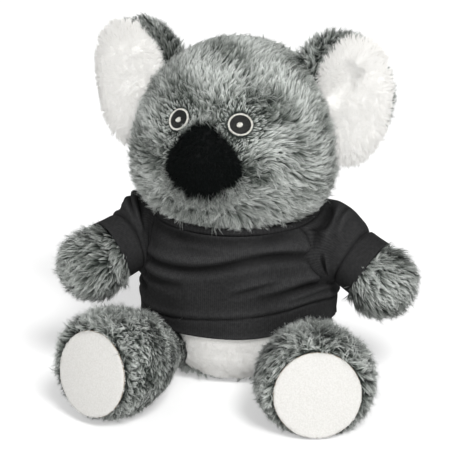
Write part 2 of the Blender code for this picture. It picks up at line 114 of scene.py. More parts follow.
def blurred(ring, width, reach, total):
    """A closed ring of values, each evened with those up to reach away."""
    steps = range(-reach, reach + 1)
    return sum(np.roll(ring, step, axis=0) * math.exp(-((step / width) ** 2)) for step in steps) / total


def pairs(across, along):
    """Each value along with every value across, row by row."""
    return np.stack(np.broadcast_arrays(across[None], along[:, None]), -1).reshape(-1, 2)


def joint_place(name):
    return np.array(JOINTS[name]["pos_m"])


def middle_of(node):
    low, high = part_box(node)
    return np.array((low + high) / 2)


def away_from(spots, *targets):
    """The distance from each spot to the nearest of some points."""
    return np.min([lengths(spots - np.array(target)) for target in targets], axis=0)


def read(items, what, width, kind=np.float32):
    """What each item in a mesh's list holds, as rows of so many numbers."""
    values = np.empty(len(items) * width, kind)
    items.foreach_get(what, values)
    return values.reshape(-1, width)


def shape_of(item):
    """(points, triangles, normals) of an object's mesh, in the frame's own directions."""
    graph = bpy.context.evaluated_depsgraph_get()
    mesh = item.evaluated_get(graph).to_mesh()
    mesh.calc_loop_triangles()
    points, normals = (read(mesh.vertices, what, 3).astype(float) for what in ("co", "normal"))
    faces = read(mesh.loop_triangles, "vertices", 3, np.int32)
    item.evaluated_get(graph).to_mesh_clear()
    return points, faces, normals


def tree_of(*items):
    """One search tree over the shapes of these objects."""
    points, faces, start = [], [], 0
    for item in items:
        own, triangles, _ = shape_of(item)
        points += own.tolist()
        faces += (triangles + start).tolist()
        start += len(own)
    return BVHTree.FromPolygons(points, faces)


def cad_tree(*nodes):
    """One search tree over the solids of these CAD nodes."""
    return tree_of(*(NODES[node] for node in nodes))


def new_mesh(name, points, faces):
    """A mesh from arrays. faces is a list of index arrays, one array for each number of corners."""
    mesh = bpy.data.meshes.new(name)
    loops = np.concatenate([part.ravel() for part in faces])
    counts = np.concatenate([np.full(len(part), part.shape[1]) for part in faces])
    starts = np.concatenate([[0], np.cumsum(counts)[:-1]])
    mesh.vertices.add(len(points))
    mesh.vertices.foreach_set("co", points.astype(np.float32).ravel())
    mesh.loops.add(len(loops))
    mesh.loops.foreach_set("vertex_index", loops.astype(np.int32))
    mesh.polygons.add(len(counts))
    mesh.polygons.foreach_set("loop_start", starts.astype(np.int32))
    mesh.update(calc_edges=True)
    return mesh


def move_points(item, points):
    item.data.vertices.foreach_set("co", points.astype(np.float32).ravel())
    item.data.update()


def set_uv(mesh, per_vertex):
    layer = mesh.uv_layers.new(name="OFBake")
    index = read(mesh.loops, "vertex_index", 1, np.int32)[:, 0]
    layer.data.foreach_set("uv", per_vertex[index].astype(np.float32).ravel())


def add_object(name, data):
    made = bpy.data.objects.new(name, data)
    bpy.context.scene.collection.objects.link(made)
    return made


def add_piece(name, mesh, material, body=None):
    made = add_object(name, mesh)
    mesh.materials.append(material)
    mesh.shade_smooth()
    if body:
        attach(made, body)
    return made


# Materials


def new_material(name, roughness, sheen=0.0, specular=0.25):
    made = bpy.data.materials.new(name)
    made.use_nodes = True
    shader = made.node_tree.nodes["Principled BSDF"]
    shader.inputs["Roughness"].default_value = roughness
    shader.inputs["Specular IOR Level"].default_value = specular
    shader.inputs["Sheen Weight"].default_value = sheen
    shader.inputs["Sheen Roughness"].default_value = 0.5
    return made, made.node_tree, shader


def feed(tree, socket, value):
    """Links a socket to another node's output, or sets its value."""
    if isinstance(value, bpy.types.NodeSocket):
        tree.links.new(value, socket)
    else:
        socket.default_value = value


def add_node(tree, kind, **inputs):
    """A node with its inputs fed by name, or by number as i0, i1 and so on."""
    made = tree.nodes.new(kind)
    for name, value in inputs.items():
        numbered = name[0] == "i" and name[1:].isdigit()
        feed(tree, made.inputs[int(name[1:]) if numbered else name], value)
    return made


def maths(tree, operation, *values):
    made = tree.nodes.new("ShaderNodeMath")
    made.operation = operation
    for socket, value in zip(made.inputs, values):
        feed(tree, socket, value)
    return made.outputs[0]


def plus(tree, first, second):
    return maths(tree, "ADD", first, second)


def times(tree, first, second):
    return maths(tree, "MULTIPLY", first, second)


def ramp(tree, factor, stops):
    """Colours by factor, from stops of (place, colour). A number in a colour's place is a grey."""
    made = tree.nodes.new("ShaderNodeValToRGB")
    tree.links.new(factor, made.inputs[0])
    elements = made.color_ramp.elements
    while len(elements) < len(stops):
        elements.new(0.5)
    for element, (place, colour) in zip(elements, stops):
        element.position = place
        element.color = (*colour, 1) if isinstance(colour, tuple) else (colour, colour, colour, 1)
    return made.outputs[0]


def mix_colours(tree, factor, first, second, mode="MIX"):
    made = tree.nodes.new("ShaderNodeMix")
    made.data_type = "RGBA"
    made.blend_type = mode
    for number, value in ((0, factor), (6, first), (7, second)):
        feed(tree, made.inputs[number], (*value, 1) if isinstance(value, tuple) else value)
    return made.outputs[2]


def own_uv(tree):
    """The two values of a mesh's UV map."""
    made = tree.nodes.new("ShaderNodeUVMap")
    made.uv_map = "OFBake"
    parts = add_node(tree, "ShaderNodeSeparateXYZ", i0=made.outputs[0])
    return parts.outputs[0], parts.outputs[1]


def raise_surface(tree, shader, strength, distance, height):
    bump = add_node(tree, "ShaderNodeBump", Strength=strength, Distance=distance, Height=height)
    tree.links.new(bump.outputs[0], shader.inputs["Normal"])


def strand_material(name, dark, light, roughness=0.75, sheen=0.15, specular=0.2):
    """Pile: a strand's colour runs from its root to its tip, between a dark and a light tuft's colours."""
    made, tree, shader = new_material(name, roughness, sheen, specular)
    shade, along = own_uv(tree)
    low, high = ramp(tree, along, dark), ramp(tree, along, light)
    tree.links.new(mix_colours(tree, shade, low, high), shader.inputs["Base Color"])
    return made


def skin_material(name, low, high, size=0.0016):
    """The woven back of the plush, seen between the strands."""
    made, tree, shader = new_material(name, 0.95)
    place = tree.nodes.new("ShaderNodeTexCoord").outputs["Object"]
    speckle = add_node(tree, "ShaderNodeTexNoise", Vector=place, Scale=1 / size, Detail=3.0)
    tree.links.new(ramp(tree, speckle.outputs[0], [(0.35, low), (0.65, high)]), shader.inputs["Base Color"])
    raise_surface(tree, shader, 0.6, 0.0004, speckle.outputs[0])
    return made


def knit_material(name, across, along, wale=0.85):
    """Jersey: columns of slanted stitches at their real size, on a sheet of so many mm each way in its UV map.

    Painted shade and light: the cloth's colour is darker in the grooves of its folds and lighter on their ridges, by
    its relief in mm, standing in for the shade and light the folds catch.
    """
    course, slant = wale * 0.75, 1.6
    made, tree, shader = new_material(name, 0.88, 0.01, 0.06)
    u, v = own_uv(tree)
    columns = times(tree, u, across / wale)
    column = maths(tree, "ABSOLUTE", maths(tree, "SUBTRACT", maths(tree, "FRACT", columns), 0.5))
    rows = plus(tree, times(tree, v, along / course), times(tree, column, slant))
    stitch = maths(tree, "SINE", times(tree, rows, FULL_TURN))
    rib = maths(tree, "COSINE", times(tree, column, FULL_TURN))
    height = plus(tree, plus(tree, times(tree, stitch, 0.20), times(tree, rib, 0.12)), 0.5)
    solid = tree.nodes.new("ShaderNodeTexCoord").outputs["Object"]
    fuzz = add_node(tree, "ShaderNodeTexNoise", Vector=solid, Scale=900.0, Detail=3.0)
    patches = add_node(tree, "ShaderNodeTexNoise", Vector=solid, Scale=70.0, Detail=2.0)
    yarn = plus(tree, times(tree, height, 0.55), times(tree, fuzz.outputs[0], 0.45))
    colour = ramp(tree, yarn, [(0.2, (0.015, 0.015, 0.0155)), (0.5, (0.040, 0.040, 0.041)), (0.85, 0.076)])
    shade = ramp(tree, patches.outputs[0], [(0.3, 0.88), (0.7, 1.0)])
    relief = tree.nodes.new("ShaderNodeAttribute")
    relief.attribute_name = "relief"
    place = plus(tree, times(tree, relief.outputs["Fac"], 0.26), 0.5)
    # painted shade and light: the colour follows the folds' relief, darker in their grooves and lighter on their
    # ridges
    painted_fold_shade = ramp(tree, place, [(0.10, 0.30), (0.42, 0.60), (0.52, 0.72), (0.85, 1.0)])
    colour = mix_colours(tree, 1.0, colour, painted_fold_shade, "MULTIPLY")
    tree.links.new(mix_colours(tree, 1.0, colour, shade, "MULTIPLY"), shader.inputs["Base Color"])
    raise_surface(tree, shader, 0.55, 0.00025, yarn)
    return made


def thread_material(name, low, high, roughness=0.5):
    """Embroidery thread: each thread a little lighter or darker, with the twist of its ply along it."""
    made, tree, shader = new_material(name, roughness, 0.1, 0.35)
    shade, along = own_uv(tree)
    twist = maths(tree, "SINE", times(tree, along, 40.0))
    tone = plus(tree, times(tree, twist, 0.15), shade)
    tree.links.new(ramp(tree, tone, [(0.0, low), (1.0, high)]), shader.inputs["Base Color"])
    return made


GREY_STRANDS = strand_material(
    "grey_plush_strands",
    [(0.0, (0.008, 0.011, 0.009)), (0.40, (0.048, 0.058, 0.050)), (0.75, (0.19, 0.21, 0.19)),
     (1.0, (0.54, 0.57, 0.53))],
    [(0.0, (0.026, 0.032, 0.028)), (0.35, (0.25, 0.275, 0.25)), (0.70, (0.72, 0.755, 0.72)),
     (1.0, (0.94, 0.955, 0.94))],
)
GREY_SKIN = skin_material("grey_plush_backing", (0.010, 0.013, 0.011), (0.036, 0.042, 0.038))
WHITE_STRANDS = strand_material(
    "white_plush_strands",
    [(0.0, (0.84, 0.83, 0.80)), (0.5, (0.90, 0.89, 0.865)), (1.0, (0.93, 0.92, 0.895))],
    [(0.0, (0.88, 0.87, 0.84)), (0.5, (0.93, 0.92, 0.895)), (1.0, (0.95, 0.945, 0.925))],
)
WHITE_SKIN = skin_material("white_plush_backing", (0.84, 0.83, 0.80), (0.90, 0.895, 0.875))
BLACK_STRANDS = strand_material(
    "black_plush_strands",
    [(0.0, (0.001, 0.0015, 0.0015)), (1.0, (0.006, 0.008, 0.008))],
    [(0.0, (0.002, 0.003, 0.003)), (0.6, (0.003, 0.004, 0.0035)), (1.0, (0.008, 0.010, 0.009))],
    0.85, 0.02, 0.06,
)
BLACK_SKIN = skin_material("black_plush_backing", (0.001, 0.0015, 0.0015), (0.004, 0.005, 0.005))
EYE_WHITE = thread_material("eye_thread_white", (0.62, 0.61, 0.55), (0.86, 0.85, 0.80))
EYE_BLACK = thread_material("eye_thread_black", (0.002, 0.002, 0.002), (0.011, 0.012, 0.010))
SEAM_THREAD = thread_material("sole_seam_thread", (0.30, 0.24, 0.17), (0.52, 0.44, 0.34), 0.7)
# painted shade: the soles' white is kept darker than the other white plush, to offset the stronger light falling on
# them
SOLE_SKIN = skin_material("sole_velour", (0.70, 0.69, 0.66), (0.77, 0.76, 0.735), 0.0007)
SOLE_STRANDS = strand_material(
    "sole_velour_strands",
    [(0.0, (0.65, 0.64, 0.61)), (0.5, (0.72, 0.712, 0.69)), (1.0, (0.76, 0.75, 0.73))],
    [(0.0, (0.70, 0.692, 0.67)), (0.5, (0.77, 0.76, 0.74)), (1.0, (0.81, 0.80, 0.785))],
)


# Stuffed skins and pile

LONG_DENSITY = 6.0  # strands to a square millimetre
LONG_PILE = {"lean": (50, 82), "width": 0.00023, "per_tuft": 6, "pinch": 0.72, "spread": 0.12, "tuft_spread": 0.26}
PAW_PILE = {**LONG_PILE, "lean": (42, 78)}
# Velour: nearly lying, evenly lit strands
SHORT_PILE = {"pinch": 0.2, "steps": 2, "soft": 1.0, "stand": 40}
ROOT_DEPTH = 0.0003  # how far a strand starts inside its skin
LEAST_ROOM = 0.35  # the share of a strand that has to stay when something stops it
STOP_SHORT = 0.04
CLEAR_START = 0.0002


def stuffed(node, body, material, voxel=0.0012, smooth=6, floor=False):
    """A stuffed skin in the place of a CAD node: the same form with the facets and sharp rims gone.

    With floor, what lies within 0.6 mm of the ground rests flat on it.
    """
    made = add_object(node + "_skin", NODES[node].data.copy())
    made.data.materials.clear()
    remesh = made.modifiers.new("Even", "REMESH")
    remesh.mode = "VOXEL"
    remesh.voxel_size = voxel
    remesh.use_smooth_shade = True
    soften = made.modifiers.new("Soft", "SMOOTH")
    soften.factor = 0.5
    soften.iterations = smooth
    mesh = bpy.data.meshes.new_from_object(made.evaluated_get(bpy.context.evaluated_depsgraph_get()))
    made.modifiers.clear()
    made.data = mesh
    if floor:
        points = read(mesh.vertices, "co", 3)
        points[:, 2] = np.where(points[:, 2] < 0.0006, 0.0, points[:, 2])
        move_points(made, points)
    mesh.materials.append(material)
    mesh.shade_smooth()
    mesh.update()
    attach(made, body)
    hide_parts(node)
    return made


def scattered(item, density, rng, *tests):
    """(points, normals) spread evenly over an object, so many to a square millimetre, where every test holds."""
    points, faces, normals = shape_of(item)
    a, b, c = (points[faces[:, i]] for i in range(3))
    area = lengths(np.cross(b - a, c - a)) / 2
    count = int(area.sum() * 1e6 * density)
    pick = rng.choice(len(faces), count, p=area / area.sum())
    u, v = rng.random((2, count, 1))
    u, v = np.where(u + v > 1, 1 - u, u), np.where(u + v > 1, 1 - v, v)
    corners = faces[pick]
    spots = a[pick] + u * (b[pick] - a[pick]) + v * (c[pick] - a[pick])
    na, nb, nc = (normals[corners[:, i]] for i in range(3))
    ways = unit(na + u * (nb - na) + v * (nc - na))
    for test in tests:
        chosen = test(spots, ways)
        spots, ways = spots[chosen], ways[chosen]
    return spots, ways


def tufts(spots, per_tuft, rng):
    """The tuft that each strand belongs to, as the index of the strand in its middle."""
    middles = rng.choice(len(spots), max(1, int(len(spots) / per_tuft)), replace=False)
    tree = KDTree(len(middles))
    for place, index in enumerate(middles):
        tree.insert(spots[index], place)
    tree.balance()
    return middles[np.array([tree.find(spot)[1] for spot in spots])]


def fur(
    name, body, material, spots, ways, field, length, rng, lean, width, per_tuft, pinch,
    spread=0.25, tuft_spread=0.45, around=None, steps=3, shade=None, floor=False, soft=0.65, stand=1.3,
):
    """A piece of pile. Each strand leaves the skin along field, leans over, and draws towards its tuft's tip.

    lean is a strand's angle off the upright at its root and its tip, in degrees. pinch is how far it draws to its
    tuft. A larger stand lays more strands down, and soft is the share of the skin's own direction in their shading.
    """
    count = len(spots)
    middle = tufts(spots, per_tuft, rng)
    turn = rng.normal(size=(count, 3))
    along = field + turn[middle] * tuft_spread + turn * spread
    along -= (along * ways).sum(1, keepdims=True) * ways
    size = lengths(along, True)
    along = along / np.maximum(size, 1e-9) * np.minimum(1, size * stand)
    length = length * rng.normal(1, 0.10, count)[middle] * rng.normal(1, 0.07, count)
    start, end = (math.radians(angle) for angle in lean)
    line = [spots - ways * ROOT_DEPTH]
    for step in range(1, steps + 1):
        angle = start + (end - start) * (step - 0.5) / steps
        line.append(line[-1] + unit(ways * math.cos(angle) + along * math.sin(angle)) * (length / steps)[:, None])
    line = np.stack(line, 1)
    pull = line[middle, -1] - line[:, -1]
    far = lengths(pull, True)
    pull *= np.minimum(1, 0.5 * length[:, None] / np.maximum(far, 1e-9))
    share = np.linspace(0, 1, steps + 1)[None, :, None]
    line = line + pull[:, None, :] * pinch * share**1.7
    kept = np.ones(count, bool)
    if around is not None:
        line, kept = stop_at(line, around)
        line, ways, middle = line[kept], ways[kept], middle[kept]
        count = len(line)
    if floor:
        line[:, :, 2] = np.maximum(line[:, :, 2], 0.0002 + 0.0004 * rng.random((count, 1)))
    reach = line[:, -1] - line[:, 0]
    across = unit(np.cross(unit(reach), ways) + 0.35 * rng.normal(size=(count, 3)))
    facing_out = (np.cross(across, reach) * ways).sum(1, keepdims=True)
    across *= np.where(facing_out < 0, -1, 1)
    thick = width * rng.uniform(0.75, 1.25, (count, 1))
    rows = []
    for step in range(steps):
        half = thick / 2 * (1 - (step / steps) ** 1.5)
        rows += [line[:, step] - across * half, line[:, step] + across * half]
    rows.append(line[:, -1])
    points = np.stack(rows, 1).reshape(-1, 3)
    each = 2 * steps + 1
    first = np.arange(count)[:, None] * each
    quads = np.concatenate([first + np.array([[2 * s, 2 * s + 1, 2 * s + 3, 2 * s + 2]]) for s in range(steps - 1)])
    tips = first + np.array([[2 * steps - 2, 2 * steps - 1, 2 * steps]])
    mesh = new_mesh(name, points, [quads, tips])
    tone = rng.random(count) if shade is None else shade[kept]
    of_tuft = rng.random(count)[middle % count] - 0.5
    of_strand = rng.random(count) - 0.5
    tone = np.clip(0.5 + 0.9 * (tone - 0.5) + 0.9 * of_tuft + 0.3 * of_strand, 0.01, 0.99)
    # Its two edges are a little apart, so that a strand has some room in the UV map
    u = np.repeat(tone, each).reshape(count, each) + np.array([[-0.004, 0.004] * steps + [0.0]])
    v = np.append(np.repeat(np.arange(steps) / steps, 2), 1.0) + np.zeros((count, 1))
    set_uv(mesh, np.stack([u.ravel(), v.ravel()], 1))
    made = add_piece(name, mesh, material, body)
    upright = unit(np.cross(across, unit(reach)))
    upright *= np.sign((upright * ways).sum(1, keepdims=True) + 1e-9)
    normal = unit(ways * soft + upright * (1 - soft))
    mesh.normals_split_custom_set_from_vertices(np.repeat(normal, each, 0).tolist())
    return made


def even(spots, ways):
    """Directions off a gently rounded panel by a cubic fit, without the small flats of the solid under it."""
    across, up = (unit_span(spots[:, axis]) for axis in (0, 2))
    terms = np.stack([across**a * up**b for a in range(4) for b in range(4 - a)], 1)
    return unit(terms @ np.linalg.lstsq(terms, ways, rcond=None)[0])


def unit_span(values):
    """Values from -1, the lowest, to 1, the highest."""
    low, high = values.min(), values.max()
    return (2 * values - low - high) / (high - low)


def stop_at(line, tree):
    """Shortens each strand where it would enter another piece, and drops those with no room."""
    kept = np.ones(len(line), bool)
    for index, strand in enumerate(line):
        way = Vector(strand[-1] - strand[0])
        hit = tree.ray_cast(Vector(strand[0]), way.normalized(), way.length)
        if hit[0] is not None:
            share = hit[3] / way.length
            if share < LEAST_ROOM:
                kept[index] = False
            else:
                line[index] = strand[0] + (strand - strand[0]) * (share - STOP_SHORT)
    return line, kept


def clear_of(tree, reach):
    """Keeps a strand only where nothing covers the skin within reach."""

    def keep(spots, ways):
        return np.array([
            tree.ray_cast(Vector(spot) + Vector(way) * CLEAR_START, Vector(way), reach)[0] is None
            for spot, way in zip(spots, ways)
        ])

    return keep


def facing_off(centre):
    """Keeps a strand only where the skin faces away from centre."""
    return lambda spots, ways: ((spots - centre) * ways).sum(1) > 0


# T-shirt. Angles are in degrees from the front, positive to the koala's left, and heights and radii in mm.

SHIRT_RADIUS = [(16, 41.6), (24, 42.4), (31, 43.0), (40, 43.0), (50, 42.4), (58, 41.3), (65, 39.4), (71, 37.0),
                (76.5, 36.3), (84, 36.0)]
NECK_LINE = [(-180, 76), (-120, 75.6), (-88, 74.0), (-66, 71.8), (-45, 71.1), (0, 70.7), (38, 71.0), (56, 71.5),
             (84, 73.2), (120, 75.4), (180, 76)]
HEM_SEAM = [(-180, 33.5), (-110, 33), (-80, 31.5), (-55, 30.2), (-37, 30.6), (-13, 32.6), (6, 33.8), (21, 34.8),
            (34, 35.8), (48, 37.0), (61, 36.6), (86, 34), (120, 33.2), (180, 33.5)]
HEM_EDGE = [(-180, 24.5), (-100, 24.3), (-70, 24.2), (-41, 24.4), (-7, 24.4), (18, 24.9), (32, 26.2), (42, 28.4),
            (56, 28.4), (72, 26), (100, 24.5), (180, 24.5)]
ARMHOLES = {
    "left": [(52, 71.4), (55.5, 67.5), (55, 63), (52.5, 58.5), (55, 52), (62, 46.5), (74, 42.5), (88, 41),
             (103, 44), (112, 53), (117, 63), (120, 75.4)],
    "right": [(70, 72.2), (66, 67), (63, 61), (61, 54.5), (62.5, 48), (70, 43), (85, 41), (103, 43.5),
              (112, 52), (116, 62), (119, 75.5)],
}
SEWN_POINTS = 240  # points along each armhole
MM_PER_DEGREE = 0.74  # round the body
FAR_OFF = 99.0
# (depth of the fold, its width, height of the roll beside it, the line along it)
BODY_FOLDS = [
    (2.0, 2.0, 1.2, [(-50, 69.6), (-32, 68.4), (-9, 67.3), (10, 67.6), (26, 68.5), (40, 69.4)]),
    (1.2, 2.0, 1.0, [(-26, 63.8), (-8, 62.8), (8, 63.4), (22, 65)]),
    (2.4, 2.1, 2.1, [(-64, 54), (-45, 53.6), (-33, 53.6), (-18, 54.6), (-6, 56.6), (6, 59.4), (18, 61), (30, 60.2),
                     (42, 57.6), (52, 54), (60, 52)]),
    (2.4, 2.4, 1.2, [(-66, 52), (-61, 47), (-55, 42.5), (-44, 39)]),
    (2.5, 2.2, 2.3, [(12, 42.4), (22, 43.4), (34, 45), (46, 44.4), (60, 42), (74, 39.6), (90, 38)]),
    (1.0, 1.3, 1.1, [(0, 44), (12, 47.4), (24, 49.4)]),
    (1.3, 1.3, 1.6, [(24, 39.4), (40, 40.6), (56, 39.4), (72, 36.6)]),
    (1.9, 1.8, 1.5, [(45, 68), (44.5, 62.5), (48, 58.4), (56, 54.6), (62, 51)]),
    (1.1, 2.1, 1.4, [(-52, 47), (-36, 46), (-20, 46.5)]),
    (1.6, 3.4, 1.1, [(100, 42), (125, 44), (150, 41)]),
    (1.6, 3.6, 1.1, [(-170, 62), (-140, 58), (-115, 50)]),
    (1.4, 3.4, 1.0, [(-150, 40), (-125, 43), (-100, 41)]),
    (1.4, 3.4, 0.9, [(150, 66), (170, 60), (179, 55)]),
]
# The same about an arm: turn from its top towards its front, and share of the way from the armhole to the cuff
SLEEVE_FOLDS = {
    "left": [
        (1.5, 2.2, 0.4, [(-70, 0.16), (-30, 0.10), (10, 0.12), (44, 0.20), (66, 0.34)]),
        (2.1, 2.2, 1.1, [(-14, 0.10), (18, 0.22), (48, 0.32), (70, 0.24), (88, 0.10)]),
        (1.4, 1.3, 1.0, [(-20, 0.50), (20, 0.46), (46, 0.52), (66, 0.66)]),
        (1.5, 1.3, 0.9, [(84, 0.40), (104, 0.44), (126, 0.46)]),
        (1.6, 1.5, 1.3, [(-110, 0.30), (-80, 0.45), (-50, 0.40)]),
    ],
    "right": [
        (2.1, 2.2, 1.2, [(-44, 0.24), (-20, 0.34), (16, 0.46), (44, 0.56), (62, 0.50)]),
        (1.6, 1.0, 1.3, [(-36, 0.58), (-10, 0.68), (18, 0.78), (44, 0.84)]),
        (1.0, 1.0, 0.8, [(-50, 0.86), (-24, 0.90), (0, 0.94)]),
        (1.6, 1.5, 1.3, [(-120, 0.30), (-90, 0.45), (-60, 0.40)]),
    ],
}
CUFFS = {"left": (0.0147, 0.0245), "right": (0.0130, 0.0228)}
CUFF_RADIUS = 0.0127
CUFF_RISE = 0.0024
SLEEVE_MM_PER_DEGREE = 0.27
SLEEVE_MM = 22  # from the armhole to the cuff
SHOULDER_LIFT = {"left": (0.0036, 0.0072), "right": (0.0056, 0.0088)}


def spline(points, count):
    """count points evenly along a smooth line through some points."""
    points = np.array(points, float)
    ends = np.vstack([2 * points[0] - points[1], points, 2 * points[-1] - points[-2]])
    share = np.linspace(0, 1, 40, endpoint=False)[:, None]
    fine = []
    for a, b, c, d in zip(ends, ends[1:], ends[2:], ends[3:]):
        rest = (2 * a - 5 * b + 4 * c - d) * share**2 + (3 * b - a - 3 * c + d) * share**3
        fine.append(0.5 * (2 * b + (c - a) * share + rest))
    fine = np.vstack([*fine, points[-1:]])
    run = np.concatenate([[0], np.cumsum(lengths(np.diff(fine, axis=0)))])
    place = np.linspace(0, run[-1], count)
    return np.stack([np.interp(place, run, fine[:, k]) for k in range(fine.shape[1])], 1)


def eased(rows, place):
    """The value at a place along a table, on a smooth line through its rows."""
    line = spline(rows, 600)
    return np.interp(place, line[:, 0], line[:, 1])


def shirt_at(turn, height, lift=0.0):
    """Points of the shirt, without its folds, by angle in degrees, height in mm and lift in mm."""
    angle, radius, share = np.radians(turn), eased(SHIRT_RADIUS, height), height / 78
    depth = (radius - 3) * (0.875 + 0.105 * share**2) + 3
    x, y = (radius + lift) * np.sin(angle), -(depth + lift) * np.cos(angle) - 4 * share
    return np.stack([x, y, height + 0 * angle], -1) / 1000


def fold_lift(place, folds, steps=80):
    """How far folds move the cloth in or out at flat places in mm. The roll lies on a line's left side."""
    total = np.zeros(len(place))
    for depth, width, roll, line in folds:
        line = spline(line, steps)
        away = place[:, None, :] - line[None]
        far = lengths(away)
        index = far.argmin(1)
        rows = np.arange(len(place))
        way = np.gradient(line, axis=0)[index]
        side = np.sign(way[:, 0] * away[rows, index, 1] - way[:, 1] * away[rows, index, 0])
        across = side * far[rows, index] / width
        strength = np.sin(np.pi * index / (steps - 1)) ** 0.7
        rolls = bell(across, 1.2, 1.8) + 0.4 * bell(across, 1.2, -1.8)
        total += strength * (roll * rolls - depth * bell(across, 1))
    return total


def seam_lift(distance):
    """A seam's groove, with the cloth puffed a little on both sides."""
    return 0.35 * bell(distance, 1.3, 2.2) - 0.55 * bell(distance, 0.7)


def armhole(side):
    line = spline(ARMHOLES[side], SEWN_POINTS)
    line[:, 0] *= SIDES[side]
    return line


def within(place, corners):
    """Which flat places lie inside a closed line."""
    inside = np.zeros(len(place), bool)
    for (ax, ay), (bx, by) in zip(corners, np.roll(corners, -1, axis=0)):
        crosses = (ay > place[:, 1]) != (by > place[:, 1])
        reach = ax + (place[:, 1] - ay) * (bx - ax) / (by - ay + 1e-12)
        inside ^= crosses & (place[:, 0] < reach)
    return inside


def tube_faces(rows, columns):
    """Quads of a closed tube of points, row by row."""
    grid = np.arange(rows * columns).reshape(rows, columns)
    after = np.roll(grid, -1, axis=1)
    return np.stack([grid[:-1], after[:-1], after[1:], grid[1:]], -1).reshape(-1, 4)


def cloth_piece(name, points, faces, uv, material, relief):
    """A sheet of cloth as a mesh, without unused points. relief is each point's height on its folds, in mm."""
    used = np.unique(faces)
    renumber = np.full(len(points), -1)
    renumber[used] = np.arange(len(used))
    mesh = new_mesh(name, points[used], [renumber[faces]])
    set_uv(mesh, uv[used])
    mesh.attributes.new("relief", "FLOAT", "POINT").data.foreach_set("value", relief[used].astype(np.float32))
    return add_piece(name, mesh, material)


def make_shirt_body():
    columns, rows = 360, 62
    turn = np.tile(np.linspace(-180, 180, columns, endpoint=False), (rows, 1))
    edge, neck = eased(HEM_EDGE, turn[0]), eased(NECK_LINE, turn[0])
    height = edge + (neck - edge) * np.linspace(0, 1, rows)[:, None]
    flat = np.stack([turn.ravel() * MM_PER_DEGREE, height.ravel()], 1)
    faces = tube_faces(rows, columns)
    middle = np.stack([turn, height], -1).reshape(-1, 2)[faces]
    middle[:, :, 0] = np.where(middle[:, :, 0] < middle[:, :1, 0] - 180, 180, middle[:, :, 0])
    middle = middle.mean(1)
    gone = np.zeros(len(faces), bool)
    distance = np.full(len(flat), FAR_OFF)
    for side in SIDES:
        line = armhole(side)
        gone |= within(middle, np.vstack([line, [[line[-1, 0], FAR_OFF], [line[0, 0], FAR_OFF]]]))
        line = line * [MM_PER_DEGREE, 1]
        far = lengths(flat[:, None, :] - line[None])
        distance = np.minimum(distance, far.min(1))
        rim = np.intersect1d(faces[gone], faces[~gone])
        rim = rim[far[rim].min(1) < 1.6]
        flat[rim] = line[far[rim].argmin(1)]
        distance[rim] = 0
    turn, height = flat[:, 0] / MM_PER_DEGREE, flat[:, 1]
    edge, above = eased(HEM_EDGE, turn), height - eased(HEM_SEAM, turn)
    lift = fold_lift(flat, BODY_FOLDS) + seam_lift(distance)
    fade = np.clip(above / 3, 0, 1)
    lift *= np.where(distance < 3, np.maximum(fade, 0.6), fade)
    lift += 0.8 * bell(above, 1.8, 2.2) - 1.1 * bell(above, 0.5)
    lift += np.where(above < 0, 0.25, 0) + 0.5 * bell(height - edge, 1.4)
    lift += 0.3 * wander(np.stack([turn * MM_PER_DEGREE, height, 0 * turn], 1), 26, 91)[:, 0]
    lift += seam_lift(np.abs(np.abs(turn) - 88) * MM_PER_DEGREE) * np.clip((38 - height) / 4, 0, 1) * 0.6
    points = shirt_at(turn, height, lift)
    first = np.arange(columns)
    # The hem's turned-up inside: (height above the edge, how far in)
    under = [(0.0, -0.5), (0.4, -1.0), (2.0, -1.1), (5.0, -1.0)]
    inner = [shirt_at(turn[first], height[first] + up, lift[first] + back) for up, back in under]
    inner[0][:, 2] -= 0.0003
    uv = np.stack([turn / 360 + 0.5, np.clip((height - 20) / 60, 0, 1)], 1)
    points = np.vstack([*inner[::-1], points])
    faces = np.vstack([tube_faces(len(under) + 1, columns), faces[~gone] + len(under) * columns])
    uv = np.vstack([np.tile(uv[first], (len(under), 1)), uv])
    relief = np.concatenate([np.tile(lift[first], len(under)), lift])
    made = cloth_piece("shirt_body", points, faces, uv, knit_material("charcoal_knit_body", 266, 60), relief)
    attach(made, "body")
    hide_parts("shirt_front", "shirt_back")


def arm_axes(side):
    """The arm's direction, and the directions of its top and its front across it."""
    along = facing(SIDES[side] * (90 - ARM_FORWARD[side]), -ARM_DROP[side])
    up = unit(UP - along[2] * along)
    front = np.cross(up, along)
    return along, up, front * -np.sign(front[1])


def armhole_ring(side, turns):
    """By turn about the arm: the armhole's points, the way the sleeve leaves each, and whether a seam is there.

    The line's sewn part runs up both sides of the shirt, and the rest goes along the neck, where the collar holds it.
    """
    _, up, front = arm_axes(side)
    shoulder = joint_place("arm_lift_" + side)
    line = armhole(side)
    over = np.linspace(line[-1, 0], line[0, 0], 62)[1:-1]
    line = np.vstack([line, np.stack([over, eased(NECK_LINE, over)], 1)])
    points = shirt_at(line[:, 0], line[:, 1])
    out = unit(points * [1, 1, 0])
    run = unit(np.roll(points, -1, axis=0) - np.roll(points, 1, axis=0))
    ways = unit(np.cross(out, run))
    middle = shirt_at(np.array([SIDES[side] * 88.0]), np.array([58.0]))
    ways *= np.sign((ways * (middle - points)).sum(1, keepdims=True))
    ways[SEWN_POINTS:] = unit(out[SEWN_POINTS:] * 0.95 + [0, 0, -0.1])
    sewn = np.where(np.arange(len(points)) < SEWN_POINTS, 1.0, 0.0)
    turn = np.unwrap(np.arctan2((points - shoulder) @ front, (points - shoulder) @ up))
    if turn[-1] < turn[0]:
        turn, points, ways, sewn = turn[::-1], points[::-1], ways[::-1], sewn[::-1]
    turn = np.concatenate([turn - FULL_TURN, turn, turn + FULL_TURN])
    values = np.tile(np.hstack([points, ways, sewn[:, None]]), (3, 1))
    found = np.stack([np.interp(turns, turn, values[:, k]) for k in range(7)], 1)
    soft = blurred(found[:, 3:], 7, 14, 12.4)
    return found[:, :3], unit(soft[:, :3]), np.clip(soft[:, 3], 0, 1)


